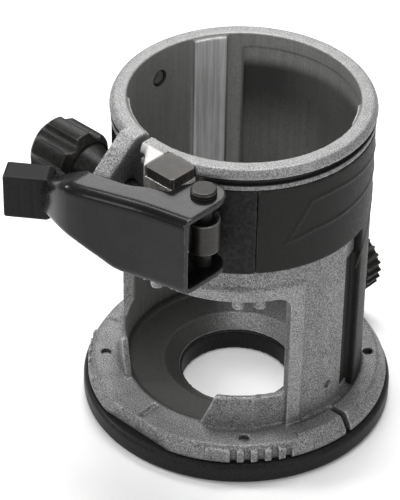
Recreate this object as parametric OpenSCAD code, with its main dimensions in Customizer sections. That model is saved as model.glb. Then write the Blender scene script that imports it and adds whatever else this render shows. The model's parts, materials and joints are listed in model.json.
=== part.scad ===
// Fixed base of a compact router: a die-cast split sleeve on a round foot,
// closed round the motor by a cam lever and a draw bolt.
// Frame: +Z up, front (clamp side) towards -Y, origin at the centre of the sub-base's underside.
// Angles are measured about +Z from +X, so the front is at 270 degrees.

/* [Sleeve] */
// Diameter of the clamping bore that takes the motor
bore_d = 65; // [60:0.5:70]
// Radial wall of the sleeve outside the relieved bore
sleeve_wall = 2.1; // [1.8:0.1:3.5]
// Total height of the base
total_h = 106; // [96:1:118]
// Depth of the relief behind the clamping lands
relief = 1; // [0.5:0.1:1.2]
// Thickness of the bare aluminium skin over the sleeve
skin_t = 1; // [0.8:0.1:1.5]
// Height of the bevelled band round the mouth
band_h = 3; // [2:0.5:5]
// How far the band stands out from the sleeve at its bottom
band_out = 2.9; // [2:0.1:4]

/* [Window] */
// Half width of the front window, in degrees
window_half = 66; // [58:1:70]
// Drop of the window's top edge below the mouth
window_drop = 46; // [42:1:56]
// Radius of the window's upper corners
window_r = 4.5; // [2:0.5:7]
// Width of the raised rib round the window
rib_w = 4.4; // [3:0.1:6]
// Height of the aluminium lintel over the window
lintel_h = 10.6; // [8:0.2:14]
// Height of the chip guards' top edge
guard_top = 23.5; // [18:0.5:30]
// Half width of the gap between the chip guards, in degrees
guard_gap = 24; // [16:1:34]

/* [Foot] */
// Overhang of the foot's casting outside the bore
flange_out = 13.3; // [12:0.1:18]
// Thickness of the foot's casting
flange_t = 5.4; // [4.6:0.2:7]
// Width of the raised rim on the foot
rim_w = 5; // [3:0.5:6]
// Overhang of the sub-base beyond the foot's casting
sub_out = 1.2; // [0.4:0.1:3]
// Thickness of the sub-base
sub_t = 6.6; // [5:0.2:9]
// Diameter of the opening for the bit
bit_d = 33.6; // [24:0.2:36]
// Depth of the flat at the foot's front
flat_in = 2.4; // [1.2:0.1:3]
// Distance of the foot's screws inside its edge
foot_screw_in = 5.8; // [4.8:0.1:8]
// Angle of the foot's screws from the front
foot_screw_az = 46; // [40:1:50]
// Number of finger ribs on each side of the foot
finger_ribs = 6; // [3:1:7]

/* [Covers] */
// Thickness of the rubber covers
cover_t = 2.3; // [1.6:0.1:3]
// Height of a cover's top edge below the mouth
cover_drop = 6.8; // [6:0.2:9]
// Angle of the grip cover's front edge from +X, towards the front
cover_front = 41; // [36:1:46]
// Angle where the cover's leg starts behind the post
leg_front = 19.5; // [16:0.5:26]
// Width of the textured front panel, in degrees
panel_span = 32; // [24:1:33]

/* [Clamp] */
// Distance of the draw bolt's axis outside the bore
bolt_out = 7.5; // [6.5:0.5:9.5]
// Drop of the draw bolt's axis below the mouth
bolt_drop = 16; // [14:0.5:20]
// Diameter of the draw bolt
bolt_d = 6; // [5:0.5:6.5]
// Thickness of each clamp ear
ear_t = 6; // [5:0.5:7]
// Thickness of the right ear at its root
right_ear_t = 8.4; // [7:0.2:10]
// Width of the split in the sleeve
split_w = 2.4; // [1.5:0.1:3]
// Width of the thrust block along the bolt
block_w = 10.4; // [9:0.2:12]
// Depth of the thrust block across the bolt
block_d = 9.4; // [8.6:0.2:10]
// Diameter of the lever's pivot pin
pin_d = 5; // [4:0.5:6]
// Radius of the lever's cam lugs
lug_r = 6; // [5.4:0.2:6.6]
// Thickness of the lever's plate
plate_t = 1.6; // [1.2:0.1:2]
// Height of the lever at its pivot
lever_h = 25; // [22:0.5:27]
// Diameter of the tension knob
knob_d = 19.6; // [16:0.4:20]
// Length of the tension knob's grip
knob_l = 16; // [12:0.5:20]
// Gap along the bolt between the sleeve and the tension knob
knob_gap = 1.7; // [1:0.1:4]
// Number of lobes on the tension knob
knob_lobes = 6; // [5:1:9]

/* [Guide lock] */
// Diameter of the rear knob
guide_d = 21.6; // [18:0.4:24]
// Thickness of the rear knob
guide_t = 9; // [7:0.5:12]
// Height of the rear knob's axis above the foot
guide_up = 7.5; // [6.5:0.5:12]
// Diameter of the rear knob's screw
guide_screw_d = 5; // [4:0.5:6]
// Number of knurls on the rear knob
guide_knurls = 24; // [12:1:32]

/* [Hidden] */
$fn = 96;
fit = 0.05;          // running clearance, radial
free_gap = 0.3;      // clearance between pieces that move past each other
eps = 0.01;
deg_front = 270;

// sleeve radii, outwards from the bore
land_r = bore_d / 2;
bolt_y = land_r + bolt_out;
inner_r = land_r + relief;
body_r = inner_r + sleeve_wall;
skin_r = body_r + skin_t;
cover_in = body_r + 0.1;
cover_out = cover_in + cover_t;
band_r = body_r + band_out;
well_r = inner_r + 0.6;          // deeper relief at the back
core_r = land_r - 4;             // the blanks reach in to here before the bore is cut
post_back = 9.5;                 // rear edge of the posts, degrees behind the X axis
flange_r = land_r + flange_out;
sub_r = flange_r + sub_out;
flat_y = flange_r - flat_in;
foot_screw_r = flange_r - foot_screw_in;
foot_screw_d = 3;
screw_head_d = 6.3;
screw_sink = 1.2;                // depth of the screws' heads in the sub-base

// heights
foot_top = sub_t + flange_t;
floor_z = foot_top - 1.8;
rim_top = foot_top + 0.8;
window_top = total_h - window_drop;
bolt_z = total_h - bolt_drop;
guide_z = foot_top + guide_up;
pin_hole_z = total_h - cover_drop - 2.8;
bore_pin_d = 4;
post_hole_z = foot_top + 8.4;
lintel_top = window_top + lintel_h;
cover_top = total_h - cover_drop;
lip_h = 1.8;
lip_top = cover_top + lip_h;
lip_r = cover_out + 0.1;
groove_r = body_r + 0.9;

// clamp stations along the bolt (X)
split_x = -5.2;                         // centre of the split
left_ear_x = split_x - split_w / 2;     // split face of the left ear
right_ear_x = split_x + split_w / 2;
block_x = right_ear_x + right_ear_t;    // face of the right ear
block_end = block_x + block_w;
cam_r = lug_r + 1.1;                    // reach of the cam lobe towards the block, closed
pin_x = block_end + free_gap + cam_r;
left_face = left_ear_x - ear_t;
wave_t = 0.8;
washer_t = 1.2;
// inner end of the grip, clear of the sleeve beside it
knob_end = -sqrt(skin_r * skin_r - (bolt_y - knob_d / 2) * (bolt_y - knob_d / 2)) - knob_gap;
neck_l = left_face - wave_t - washer_t - knob_end;
neck_d = bolt_d + 4.4;                  // neck of the tension knob where it meets the washer
insert_d = bolt_d + 3;
insert_end = 3;                         // how far the insert and the bolt stop short of the knob's end
bolt_tip = knob_end - knob_l + insert_end;
bolt_hole_d = bolt_d + 2 * fit + 0.3;
block_front = bolt_y + block_d / 2;
eye_d = pin_d + 4.6;
eye_h = bolt_d + 4;
ear_bottom = window_top + 9;
ear_end_y = bolt_y + 9;
lever_low = bolt_z + 0.5 - lever_h / 2;
lever_top = lever_low + lever_h;
cap_t = 3.6;

// boss of the guide lock, along Y: its end stands clear of the foot's edge
boss_start = body_r - 1.2;
boss_end = flange_r + 0.6;
boss_r = guide_screw_d / 2 + 3.9;

// ring between two radii, from angle a0 to a1 and height z0 to z1
module arc_wall(r0, r1, a0, a1, z0, z1)
    rotate([0, 0, a0]) rotate_extrude(angle = a1 - a0) translate([r0, z0]) square([r1 - r0, z1 - z0]);

module full_ring(r0, r1, z0, z1)
    rotate_extrude() translate([r0, z0]) square([r1 - r0, z1 - z0]);

// both sides of a feature that is modelled on the +X side
module both_sides() {
    children();
    mirror([1, 0, 0]) children();
}

// hole along +X at angle a, from radius r0 to r1
module radial_hole(a, z, d, r0, r1)
    rotate([0, 0, a]) translate([r0, 0, z]) rotate([0, 90, 0]) cylinder(d = d, h = r1 - r0, $fn = 32);

// ---------- base casting ----------

module foot_blank() {
    rotate_extrude() polygon([
        [bit_d / 2 + 0.6, sub_t], [flange_r - 0.6, sub_t], [flange_r, sub_t + 0.8],
        [flange_r, sub_t + 2], [flange_r - 2, foot_top],
        [inner_r + 0.2, foot_top], [inner_r - 0.6, floor_z + 0.4], [bit_d / 2 + 5.4, floor_z],
        [bit_d / 2 + 0.6, sub_t + 0.4]]);
    both_sides() arc_wall(cover_out + free_gap, cover_out + free_gap + rim_w, -22, 70, foot_top - eps, rim_top);
}

module front_flat() {
    translate([-30, -flat_y - 10, sub_t - 1]) cube([60, 10, 20]);
    translate([0, -flat_y + 1.2, foot_top]) rotate([-40, 0, 0]) translate([-30, -10, 0]) cube([60, 10, 10]);
}

module finger_recess()
    arc_wall(flange_r - 1.6, flange_r + 5, -59, -26, sub_t - 1, foot_top - 1);

module finger_rib(a)
    rotate([0, 0, a]) translate([flange_r - 2.4, -1.05, sub_t + 0.2]) cube([2.2, 2.1, flange_t - 1]);

module foot() {
    difference() {
        foot_blank();
        front_flat();
        both_sides() finger_recess();
        both_sides() translate([inner_r + 4, -1, sub_t - 1]) cube([20, 2, 20]);
        // index mark at the front
        translate([-0.9, -flat_y + 1.5, foot_top - 0.8]) cube([1.8, 7, 5]);
        foot_screw_places() translate([0, 0, sub_t - 1]) cylinder(d = foot_screw_d, h = 20, $fn = 32);
    }
    both_sides() for (i = [0 : finger_ribs - 1]) finger_rib(-56.4 + i * 5.3);
}

module foot_screw_places()
    for (a = [foot_screw_az, -foot_screw_az, 180 - foot_screw_az, 180 + foot_screw_az])
        rotate([0, 0, deg_front + a]) translate([foot_screw_r, 0, 0]) children();

// sleeve with its bands and bare skins, solid down to core_r: the bore is cut later
module sleeve_blank() {
    // plain wall, groove, lip and bevelled mouth band
    rotate_extrude() polygon([
        [core_r, foot_top - 1.5], [body_r, foot_top - 1.5], [body_r, cover_top], [lip_r, cover_top],
        [lip_r, lip_top], [groove_r, lip_top], [groove_r, total_h - band_h], [band_r, total_h - band_h],
        [band_r - 0.2, total_h - band_h + 1.4], [band_r - 1.1, total_h], [core_r, total_h]]);
    // bare aluminium: posts, lintel and the left front
    arc_wall(core_r + 1, skin_r, 180 - post_back, 360 + post_back, foot_top - 1, lintel_top - 0.2);
    arc_wall(core_r + 2, skin_r - 0.4, 180 + cover_front + 0.6, deg_front + 20, lintel_top - 1,
        cover_top + 0.5);
}

// relieved bore, and the deeper well at its back
module bore_cut() {
    translate([0, 0, foot_top - 2]) cylinder(r = inner_r, h = total_h);
    arc_wall(land_r - 1, well_r, 47, 133, foot_top + 8, total_h - 4.7);
}

// clamping lands: one on each side of the back and one across the front
module lands() {
    both_sides() arc_wall(land_r, inner_r + 0.5, 21, 38.5, window_top, total_h - 1);
    arc_wall(land_r, inner_r + 0.5, deg_front - 46, deg_front + 46, window_top + 0.3, total_h - 1);
}

// raised rib round the window, still without the window
module window_rib() {
    side = rib_w / skin_r * 180 / PI;
    arc_wall(core_r + 3, skin_r + 0.7, deg_front - window_half - side, deg_front + window_half + side,
        foot_top - 0.6, window_top + rib_w);
}

// what stays of the window's upper right corner
module window_corner()
    rotate([0, 0, -90 + window_half]) difference() {
        translate([core_r - 3, -window_r, window_top - window_r]) cube([16, window_r + 1, window_r + 1]);
        translate([core_r - 4, -window_r, window_top - window_r]) rotate([0, 90, 0])
            cylinder(r = window_r, h = 18, $fn = 48);
    }

module window_cut()
    difference() {
        arc_wall(core_r - 1, skin_r + 4, deg_front - window_half, deg_front + window_half,
            foot_top - 1.2, window_top);
        both_sides() window_corner();
    }

module lintel_bosses()
    for (a = [0, 42, 52, -42, -52])
        rotate([0, 0, deg_front + a]) translate([inner_r + 1.6, 0, window_top - 3])
            cylinder(r = 1.9, h = 4, $fn = 32);

// chip guard on the right, with a sloping free end
module chip_guard()
    difference() {
        union() {
            arc_wall(inner_r + 0.6, inner_r + 2.7, deg_front + guard_gap, deg_front + 53, floor_z, guard_top);
            arc_wall(inner_r + 0.2, inner_r + 2.2, deg_front + 52, deg_front + window_half + 2,
                floor_z - 0.2, guard_top - 0.4);
        }
        rotate([0, 0, deg_front + guard_gap]) translate([inner_r - 5, -6, foot_top])
            rotate([-22, 0, 0]) translate([0, -6, -2]) cube([14, 12, guard_top]);
    }

module ear_profile(end_y, top_drop)
    polygon([[-core_r - 2, total_h], [-land_r - 5, total_h], [-end_y + 1.6, total_h - top_drop],
        [-end_y, total_h - top_drop - 2], [-end_y, bolt_z - 7], [-end_y + 5, ear_bottom + 4],
        [-land_r - 3, ear_bottom - 3], [-core_r - 2, ear_bottom - 3]]);

module left_ear()
    translate([left_face, 0, 0]) rotate([90, 0, 90]) linear_extrude(ear_t) ear_profile(ear_end_y, 8);

module right_ear()
    translate([0, 0, ear_bottom - 3]) linear_extrude(total_h - ear_bottom + 3)
        polygon([[right_ear_x - 1, -core_r - 2], [right_ear_x - 1, -land_r - 2], [right_ear_x, -land_r - 2.6],
            [block_x, -block_front - 0.5], [block_x + 1, -block_front - 0.5], [block_x + 1, -core_r - 2]]);

module guide_boss() {
    translate([0, boss_start, guide_z]) rotate([-90, 0, 0]) cylinder(r = boss_r, h = boss_end - boss_start);
    translate([-5, body_r - 1.6, foot_top - 1]) cube([10, 8.4, 5]);
}

module base_casting() color([0.66, 0.66, 0.65]) {
    difference() {
        union() {
            foot();
            difference() {
                union() {
                    sleeve_blank();
                    window_rib();
                    left_ear();
                    right_ear();
                }
                bore_cut();
                window_cut();
                // dark slots between the posts and the covers' legs
                both_sides() arc_wall(body_r - 1, body_r + 3, post_back, leg_front + 0.5, foot_top + 2, window_top + 2);
            }
            lands();
            both_sides() chip_guard();
            lintel_bosses();
            guide_boss();
        }
        // split through the sleeve
        translate([left_ear_x, -land_r - 30, window_top - 6]) cube([split_w, 32, total_h]);
        // seat for the thrust block
        translate([block_x, -block_front - 4, ear_bottom - 3])
            cube([block_w + 0.1, block_d + 4.1, total_h]);
        // bolt holes in the ears
        along_bolt(left_face - 5, block_end + 20, bolt_hole_d);
        // pin holes in the bore, hidden behind the lip
        radial_hole(0, pin_hole_z, bore_pin_d, inner_r - 4, body_r + 0.02);
        radial_hole(180, pin_hole_z, bore_pin_d, inner_r - 4, body_r + 0.02);
        // cross holes in the posts
        radial_hole(0, post_hole_z, 2.6, inner_r - 4, skin_r + 4);
        radial_hole(180, post_hole_z, 2.6, inner_r - 4, skin_r + 4);
        // seat for the guide screw's insert, and a passage for the screw
        along_guide(body_r + 1.8, boss_end + 10, guide_screw_d + 3);
        along_guide(inner_r - 4, boss_end + 4, guide_screw_d + 0.8);
    }
}

// ---------- foot pieces ----------

module screw_seat(extra) {
    translate([0, 0, -1]) cylinder(d = screw_head_d + 0.1 + extra, h = 1 + screw_sink);
    translate([0, 0, screw_sink - eps])
        cylinder(d1 = screw_head_d + 0.1 + extra, d2 = foot_screw_d + extra, h = 1.7);
    cylinder(d = foot_screw_d + extra, h = sub_t + 2);
}

module sub_base() color([0.07, 0.07, 0.075])
    difference() {
        rotate_extrude() polygon([
            [bit_d / 2, 0], [sub_r - 0.8, 0], [sub_r, 0.8], [sub_r, sub_t - 1], [sub_r - 1, sub_t],
            [bit_d / 2, sub_t]]);
        foot_screw_places() screw_seat(0.3);
    }

module sub_base_screws() color([0.55, 0.55, 0.56])
    foot_screw_places() difference() {
        union() {
            translate([0, 0, screw_sink - 0.2]) cylinder(d = screw_head_d, h = 0.2);
            translate([0, 0, screw_sink - eps]) cylinder(d1 = screw_head_d, d2 = foot_screw_d, h = 1.65);
            translate([0, 0, screw_sink + 1.6])
                cylinder(d = foot_screw_d, h = foot_top - 1.4 - screw_sink - 1.6);
        }
        translate([-0.4, -2.4, 0.9]) cube([0.8, 4.8, 0.9]);
        translate([-2.4, -0.4, 0.9]) cube([4.8, 0.8, 0.9]);
    }

// ---------- covers ----------

// grip cover on the +X side: a band under the lip and a leg down to the foot
module grip_cover_shape()
    difference() {
        union() {
            difference() {
                arc_wall(cover_in, cover_out, -cover_front, 89.6, foot_top + 0.1, cover_top - 0.1);
                arc_wall(cover_in - 1, cover_out + 1, -cover_front - 5, leg_front, foot_top - 1, lintel_top);
            }
            // thin lip that lines the slot beside the post
            arc_wall(body_r - 0.9, body_r - 0.2, post_back + 0.5, leg_front + 0.2, foot_top + 2.2, window_top + 1.8);
            arc_wall(body_r - 0.7, cover_in + 1, leg_front + 0.1, leg_front + 0.4, foot_top + 2.2,
                window_top + 1.8);
        }
        translate([0, body_r - 2, guide_z]) rotate([-90, 0, 0]) cylinder(r = boss_r + 0.4, h = 12);
        translate([-5.4, body_r - 2, foot_top - 1]) cube([10.8, 12, 8]);
    }

module right_grip_cover() color([0.16, 0.16, 0.165]) grip_cover_shape();

module left_grip_cover() color([0.16, 0.16, 0.165]) mirror([1, 0, 0]) grip_cover_shape();

module front_panel() color([0.1, 0.1, 0.1])
    difference() {
        arc_wall(skin_r + 0.1 - skin_t, cover_out, 360 - cover_front - 0.6 - panel_span, 360 - cover_front - 0.6,
            lintel_top, cover_top - 0.1);
        // clear of the thrust block's seat and the aluminium skin in front
        arc_wall(inner_r, skin_r + 0.1, deg_front, deg_front + 20.2, lintel_top - 1, cover_top + 1);
        translate([block_x - 1, -bolt_y - block_d, ear_bottom - 4]) cube([block_w + 1.4, 2 * block_d, 50]);
    }

module bore_pins() color([0.75, 0.75, 0.76])
    both_sides() translate([inner_r + 0.5, 0, pin_hole_z]) rotate([0, 90, 0])
        cylinder(d = bore_pin_d, h = sleeve_wall - 0.6, $fn = 32);

// ---------- clamp ----------

module along_bolt(x0, x1, d)
    translate([x0, -bolt_y, bolt_z]) rotate([0, 90, 0]) cylinder(d = d, h = x1 - x0);

module thrust_block() color([0.62, 0.62, 0.6])
    difference() {
        translate([block_x, -bolt_y - block_d / 2, ear_bottom + 1])
            cube([block_w, block_d, total_h - cap_t - ear_bottom - 1]);
        along_bolt(block_x - 1, block_end + 1, bolt_hole_d);
    }

module block_cap() color([0.1, 0.1, 0.1])
    translate([block_x + block_w / 2, -bolt_y, total_h - cap_t]) intersection() {
        translate([-block_w / 2, -block_d / 2, 0]) cube([block_w, block_d, cap_t - 0.2]);
        rotate([0, 0, 45]) translate([-block_w * 0.62, -block_w * 0.62, 0])
            cube([block_w * 1.24, block_w * 1.24, cap_t]);
    }

module clamp_bolt() color([0.7, 0.7, 0.7])
    difference() {
        union() {
            along_bolt(bolt_tip, pin_x, bolt_d);
            translate([pin_x, -bolt_y, bolt_z - eye_h / 2]) cylinder(d = eye_d, h = eye_h);
        }
        translate([pin_x, -bolt_y, bolt_z - eye_h]) cylinder(d = pin_d + 2 * fit, h = 2 * eye_h);
    }

module pivot_pin() color([0.12, 0.12, 0.12])
    translate([pin_x, -bolt_y, 0]) {
        translate([0, 0, lever_low - 2]) cylinder(d = pin_d, h = lever_h + 2);
        translate([0, 0, lever_top]) rotate_extrude() polygon([
            [0, 0], [pin_d / 2 + 1.2, 0], [pin_d / 2 + 1.2, 1.3], [pin_d / 2 + 0.7, 1.9], [0, 1.9]]);
    }

module pivot_clip() color([0.3, 0.3, 0.3])
    translate([pin_x, -bolt_y, lever_low - 1.2]) difference() {
        cylinder(d = pin_d + 3.4, h = 1);
        translate([0, 0, -1]) cylinder(d = pin_d, h = 3);
        translate([0, -0.9, -1]) cube([10, 1.8, 3]);
    }

// plan of the lever, closed: web on the outside, cam lugs at the pin, neck towards the tip
module lever_plan() {
    p = [pin_x, -bolt_y];
    translate(p) circle(r = lug_r);
    polygon([p + [lug_r, 0], p + [lug_r, -11.2], p + [-7, -14.3], p + [-16.1, -17.4], p + [-26, -20.8],
        p + [-31, -21.4], p + [-36.5, -20.2], p + [-43.7, -17.4], p + [-45.7, -11.2], p + [-37, -12.4],
        p + [-28.5, -12.6], p + [-23, -12.3], p + [-17, -11.1], p + [-12.6, -8], p + [-7.6, -6.2],
        p + [-cam_r, -4.2], p + [-cam_r, -1.4], p + [-lug_r, 1]]);
}

module lever_hollow_plan() {
    p = [pin_x, -bolt_y];
    polygon([p + [lug_r + 1, 8], p + [lug_r + 1, -9.6], p + [-7, -12.7], p + [-16.1, -15.8],
        p + [-26, -19.1], p + [-31, -19.6], p + [-33, -19.2], p + [-33, -8], p + [-20, 8]]);
}

// side view of the lever: its lower edge rises towards the tip
module lever_side(t)
    polygon([[pin_x + 10, lever_low + t], [pin_x - 14, lever_low + t], [pin_x - 21, lever_low + 4 + t],
        [pin_x - 29, lever_low + 7 + t], [pin_x - 36, lever_low + 7.6 + t], [pin_x - 50, lever_low + 5 + t],
        [pin_x - 50, lever_top - 10.5 - t], [pin_x - 44, lever_top - 9 - t], [pin_x - 38, lever_top - 5 - t],
        [pin_x - 32, lever_top - 0.8 - t], [pin_x - 26, lever_top - t], [pin_x + 10, lever_top - t]]);

module lever_prism(t)
    rotate([90, 0, 0]) linear_extrude(100) lever_side(t);

module lever_body()
    difference() {
        intersection() {
            translate([0, 0, lever_low - 1]) linear_extrude(lever_h + 2) lever_plan();
            lever_prism(0);
        }
        intersection() {
            translate([0, 0, lever_low - 1]) linear_extrude(lever_h + 2) lever_hollow_plan();
            lever_prism(plate_t);
        }
        translate([pin_x, -bolt_y, lever_low - 1]) cylinder(d = pin_d, h = lever_h + 2);
    }

// flat tongue on the lever's neck that carries the rubber tip
module lever_tongue()
    tip_place() translate([-tip_l / 2 - 2, -1.6, -5]) cube([tip_l - 1, 3.2, 10]);

module clamp_lever() color([0.09, 0.09, 0.09]) {
    lever_body();
    lever_tongue();
}

// frame of the rubber tip: +X towards the free end, origin at its centre
tip_rel = [-51.5, -16.4];
tip_l = 14;
tip_w = 7.4;
tip_h = 16.6;
module tip_place()
    translate([pin_x + tip_rel[0], -bolt_y + tip_rel[1], bolt_z - 2]) rotate([0, 0, 180 + 17.6]) children();

module lever_tip() color([0.08, 0.08, 0.08])
    difference() {
        tip_place() difference() {
            intersection() {
                translate([-tip_l / 2, -tip_w / 2, -tip_h / 2]) cube([tip_l, tip_w, tip_h]);
                translate([0.6, 0, 0]) rotate([90, 0, 0]) cylinder(r = 10.2, h = 20, center = true);
            }
            // grip grooves on both faces
            for (x = [-1.6, 2], side = [-1, 1])
                translate([x, side * (tip_w / 2), 0]) cube([0.7, 1, tip_h - 4], center = true);
        }
        lever_tongue();
    }

module lobed_knob(r, lobes, depth, h)
    difference() {
        cylinder(r = r, h = h);
        for (i = [0 : lobes - 1])
            rotate([0, 0, (i + 0.5) * 360 / lobes]) translate([r * 1.18, 0, -1])
                cylinder(r = r * 0.18 + depth, h = h + 2, $fn = 32);
    }

module tension_knob() color([0.09, 0.09, 0.09])
    translate([knob_end, -bolt_y, bolt_z]) rotate([0, -90, 0]) difference() {
        union() {
            intersection() {
                lobed_knob(knob_d / 2, knob_lobes, 1.5, knob_l);
                rotate_extrude() polygon([
                    [0, 0], [knob_d / 2 - 2, 0], [knob_d / 2, 2], [knob_d / 2, knob_l - 2],
                    [knob_d / 2 - 2, knob_l], [0, knob_l]]);
            }
            translate([0, 0, -neck_l]) cylinder(d1 = neck_d, d2 = neck_d + 3.6, h = neck_l + eps);
        }
        translate([0, 0, -neck_l - 1]) cylinder(d = insert_d, h = neck_l + knob_l + 1 - insert_end);
    }

module knob_insert() color([0.75, 0.6, 0.3])
    difference() {
        along_bolt(bolt_tip, knob_end + neck_l, insert_d);
        along_bolt(knob_end - knob_l, knob_end + neck_l + 1, bolt_d + 2 * fit);
    }

module clamp_washer() color([0.7, 0.7, 0.7])
    difference() {
        along_bolt(left_face - wave_t - washer_t, left_face - wave_t, neck_d + 1.2);
        along_bolt(left_face - 5, left_face + 1, bolt_d + 2 * fit);
    }

module wave_washer() color([0.7, 0.7, 0.7])
    difference() {
        along_bolt(left_face - wave_t, left_face, neck_d);
        along_bolt(left_face - 5, left_face + 1, bolt_hole_d);
    }

// ---------- guide lock at the back ----------

guide_washer_t = 0.8;
guide_y = boss_end + guide_washer_t + 0.1;
guide_stop = 2.6;        // how far the screw stops short of the knob's face

module along_guide(y0, y1, d)
    translate([0, y0, guide_z]) rotate([-90, 0, 0]) cylinder(d = d, h = y1 - y0);

module guide_knob() color([0.1, 0.1, 0.1])
    translate([0, guide_y, guide_z]) rotate([-90, 0, 0]) difference() {
        rotate_extrude() polygon([
            [0, 0], [guide_d / 2 - 2.4, 0], [guide_d / 2 - 1, 1.4], [guide_d / 2, 2.4],
            [guide_d / 2, guide_t - 1.4], [guide_d / 2 - 1.4, guide_t], [guide_d / 2 - 3, guide_t - 0.6],
            [0, guide_t - 0.6]]);
        for (i = [0 : guide_knurls - 1])
            rotate([0, 0, i * 360 / guide_knurls]) translate([guide_d / 2 + 0.5, 0, -1])
                cylinder(r = 1.1, h = guide_t + 2, $fn = 16);
        translate([0, 0, -1]) cylinder(d = guide_screw_d, h = guide_t + 1 - guide_stop);
    }

module guide_screw() color([0.7, 0.7, 0.7])
    along_guide(inner_r + 0.6, guide_y + guide_t - guide_stop, guide_screw_d);

module guide_washer() color([0.7, 0.7, 0.7])
    difference() {
        along_guide(boss_end, boss_end + guide_washer_t, 2 * boss_r - 0.8);
        along_guide(boss_end - 1, boss_end + 5, guide_screw_d + 2 * fit);
    }

module guide_insert() color([0.75, 0.6, 0.3])
    difference() {
        along_guide(body_r + 1.8, boss_end, guide_screw_d + 3);
        along_guide(body_r, boss_end + 1, guide_screw_d + 2 * fit);
    }

base_casting();
sub_base();
sub_base_screws();
right_grip_cover();
left_grip_cover();
front_panel();
bore_pins();
thrust_block();
block_cap();
clamp_bolt();
pivot_pin();
pivot_clip();
clamp_lever();
lever_tip();
tension_knob();
knob_insert();
clamp_washer();
wave_washer();
guide_knob();
guide_screw();
guide_washer();
guide_insert();
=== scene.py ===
"""Looks for the fixed base of a compact router.

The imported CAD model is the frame. Every visible solid is remeshed on an even grid, so that its
edges turn over softly as die-cast, moulded and stamped edges do, and gets a procedural finish.
All sizes are in metres in the CAD's own frame: +Z up, the clamp towards -Y.
"""

import json
import logging
import math
from dataclasses import dataclass, field
from enum import Enum
from functools import reduce
from typing import Callable, Iterable, Sequence, Union

import bmesh
import bpy
import numpy as np
from mathutils import Matrix, Vector


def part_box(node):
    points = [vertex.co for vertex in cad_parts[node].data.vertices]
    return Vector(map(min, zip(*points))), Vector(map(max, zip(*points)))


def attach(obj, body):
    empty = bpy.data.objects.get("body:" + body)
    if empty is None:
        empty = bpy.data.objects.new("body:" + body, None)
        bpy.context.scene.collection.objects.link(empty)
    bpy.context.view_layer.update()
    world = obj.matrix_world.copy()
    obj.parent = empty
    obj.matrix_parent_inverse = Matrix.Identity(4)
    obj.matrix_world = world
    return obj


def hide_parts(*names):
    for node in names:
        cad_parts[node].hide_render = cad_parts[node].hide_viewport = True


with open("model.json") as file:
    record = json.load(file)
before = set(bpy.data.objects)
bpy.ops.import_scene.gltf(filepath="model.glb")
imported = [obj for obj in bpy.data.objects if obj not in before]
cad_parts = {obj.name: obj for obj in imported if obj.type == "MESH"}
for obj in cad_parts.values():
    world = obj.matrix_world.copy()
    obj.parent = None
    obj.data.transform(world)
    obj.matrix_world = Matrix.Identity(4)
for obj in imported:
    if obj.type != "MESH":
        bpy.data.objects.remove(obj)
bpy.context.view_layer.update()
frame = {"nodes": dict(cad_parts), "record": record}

LOG = logging.getLogger("router_base")
MM = 0.001
BEND_LIMIT = 2.0
Point = tuple[float, float]
Colour = tuple[float, float, float, float]
Node = bpy.types.Node
Socket = bpy.types.NodeSocket
NodeTree = bpy.types.NodeTree
Object = bpy.types.Object
Mesh = bpy.types.Mesh
Material = bpy.types.Material
BMesh = bmesh.types.BMesh
Feed = Union[Socket, float, Colour]


class Body(Enum):
    """The bodies of the mechanism that a piece can ride on."""

    BASE = "base"
    BOLT = "draw_bolt"
    LEVER = "lever"
    TENSION = "tension_knob"
    GUIDE = "guide_knob"


class Kind(Enum):
    """The families of surface, each with its own node network."""

    CASTING = "casting"
    MOULDED = "moulded"
    METAL = "metal"
    PAINT = "paint"


# ---------------------------------------------------------------------------------------------
# node trees


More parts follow.
